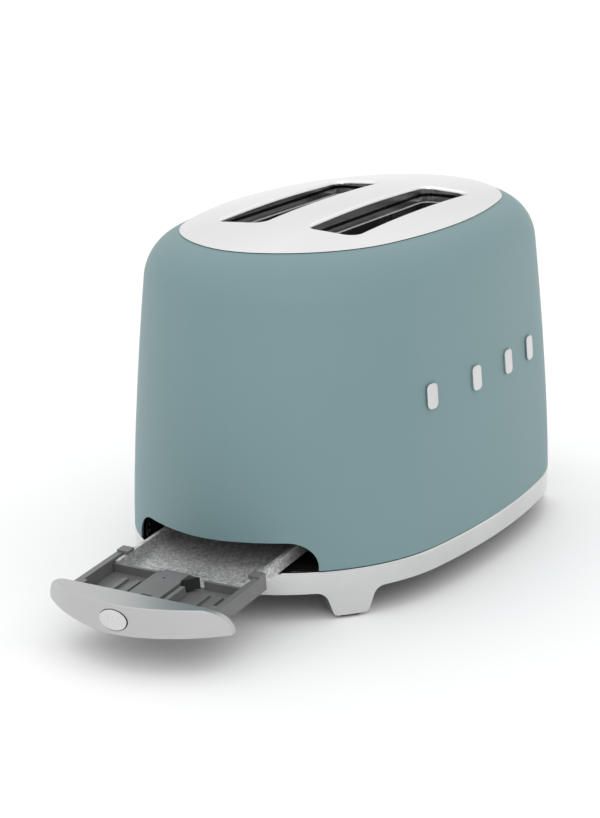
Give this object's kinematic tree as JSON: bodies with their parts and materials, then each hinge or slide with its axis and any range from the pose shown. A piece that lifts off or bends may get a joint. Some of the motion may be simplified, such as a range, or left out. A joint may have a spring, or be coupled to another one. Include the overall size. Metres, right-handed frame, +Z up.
{
  "type": "pop-up toaster",
  "caption": "Pop-up toaster with an oval metal body, a domed top plate with long bread slots, a polished base ring on feet and a crumb tray that draws out of one end.",
  "frame": {"origin": "middle of the object's footprint with the tray drawn out, on the worktop under the feet", "axes": "+Z up; +X along the body towards the lever end, so the crumb tray draws out towards -X; the side turned to the viewer is -Y"},
  "size_m": [0.4113, 0.195, 0.198],
  "materials": {
    "body_paint": "satin",
    "polished_steel": "polished",
    "polished_plate": "polished",
    "satin_metal": "satin",
    "rubber": "matt",
    "black_plastic": "matt",
    "screw_steel": "plated",
    "sheet_steel": "galvanised",
    "black_steel": "matt",
    "mica": "matt",
    "resistance_wire": "bare",
    "guide_wire": "plated",
    "coil": "enamelled",
    "board": "matt",
    "grey_plastic": "matt"
  },
  "bodies": {
    "toaster": {"base_ring": "polished_steel", "board_components": "black_plastic", "bottom_cover": "black_plastic", "bottom_screws": "screw_steel", "browning_control": "black_plastic", "button_bezels": "polished_steel", "button_switches": "black_plastic", "cage_tie_bars": "sheet_steel", "carriage_spring": "screw_steel", "chassis_base": "sheet_steel", "chassis_screws": "screw_steel", "control_board": "board", "cord_outlet": "black_plastic", "dial_bezel": "polished_steel", "end_plate_lever_side": "sheet_steel", "end_plate_tray_side": "sheet_steel", "foot_pads": "rubber", "guide_rod": "screw_steel", "heater_card_centre": "mica", "heater_card_left": "mica", "heater_card_right": "mica", "heater_ribbon_centre": "resistance_wire", "heater_ribbon_left": "resistance_wire", "heater_ribbon_right": "resistance_wire", "latch_magnet": "coil", "lever_slot_trim": "polished_steel", "outer_shell": "body_paint", "reflector_left": "sheet_steel", "reflector_right": "sheet_steel", "rod_brackets": "sheet_steel", "side_badge": "polished_steel", "slot_liner_left": "black_steel", "slot_liner_right": "black_steel", "terminal_block": "black_plastic", "top_plate": "polished_plate", "tray_tunnel": "black_plastic"},
    "crumb_tray": {"tray_fascia": "satin_metal", "tray_frame": "grey_plastic", "tray_pan": "sheet_steel"},
    "tray_catch": {"tray_push_pad": "grey_plastic", "tray_latch_bar": "black_plastic"},
    "carriage": {"carriage_bracket": "sheet_steel", "bread_lift_left": "sheet_steel", "bread_lift_right": "sheet_steel", "lever_knob": "polished_steel", "latch_armature": "sheet_steel"},
    "guide_left_outer": {"bread_guide_left_outer": "guide_wire"},
    "guide_left_inner": {"bread_guide_left_inner": "guide_wire"},
    "guide_right_outer": {"bread_guide_right_outer": "guide_wire"},
    "guide_right_inner": {"bread_guide_right_inner": "guide_wire"},
    "dial": {"browning_dial": "polished_steel"},
    "cancel": {"button_cancel": "satin_metal"},
    "reheat": {"button_reheat": "satin_metal"},
    "defrost": {"button_defrost": "satin_metal"}
  },
  "joints": [
    {"name": "tray_slide", "type": "slide", "parent": "toaster", "child": "crumb_tray", "axis": [-0.9954, 0, -0.0958], "range_m": [-0.084, 0.085]},
    {"name": "tray_catch_press", "type": "slide", "parent": "crumb_tray", "child": "tray_catch", "axis": [0.9954, 0, 0.0958], "range_m": [0, 0.002], "stiffness_N_per_m": 300, "springref_m": -0.002},
    {"name": "lever_slide", "type": "slide", "parent": "toaster", "child": "carriage", "axis": [0, 0, -1], "range_m": [0, 0.068], "stiffness_N_per_m": 60, "springref_m": -0.08, "deforming": ["carriage_spring"]},
    {"name": "guide_left_outer_close", "type": "slide", "parent": "toaster", "child": "guide_left_outer", "axis": [0, 1, 0], "range_m": [0, 0.005]},
    {"name": "guide_left_inner_close", "type": "slide", "parent": "toaster", "child": "guide_left_inner", "axis": [0, -1, 0], "range_m": [0, 0.005]},
    {"name": "guide_right_outer_close", "type": "slide", "parent": "toaster", "child": "guide_right_outer", "axis": [0, -1, 0], "range_m": [0, 0.005]},
    {"name": "guide_right_inner_close", "type": "slide", "parent": "toaster", "child": "guide_right_inner", "axis": [0, 1, 0], "range_m": [0, 0.005]},
    {"name": "dial_turn", "type": "hinge", "parent": "toaster", "child": "dial", "pos_m": [0.18261, 0, 0.047], "axis": [1, 0, 0], "range_deg": [0, 270]},
    {"name": "cancel_press", "type": "slide", "parent": "toaster", "child": "cancel", "axis": [-1, 0, 0], "range_m": [0, 0.0015], "stiffness_N_per_m": 250, "springref_m": -0.002},
    {"name": "reheat_press", "type": "slide", "parent": "toaster", "child": "reheat", "axis": [-0.9089, 0.417, 0], "range_m": [0, 0.0015], "stiffness_N_per_m": 250, "springref_m": -0.002},
    {"name": "defrost_press", "type": "slide", "parent": "toaster", "child": "defrost", "axis": [-0.9089, -0.417, 0], "range_m": [0, 0.0015], "stiffness_N_per_m": 250, "springref_m": -0.002}
  ],
  "couplings": [
    {"joint": "guide_left_outer_close", "follows": "lever_slide", "ratio": 0.073529},
    {"joint": "guide_left_inner_close", "follows": "lever_slide", "ratio": 0.073529},
    {"joint": "guide_right_outer_close", "follows": "lever_slide", "ratio": 0.073529},
    {"joint": "guide_right_inner_close", "follows": "lever_slide", "ratio": 0.073529}
  ]
}
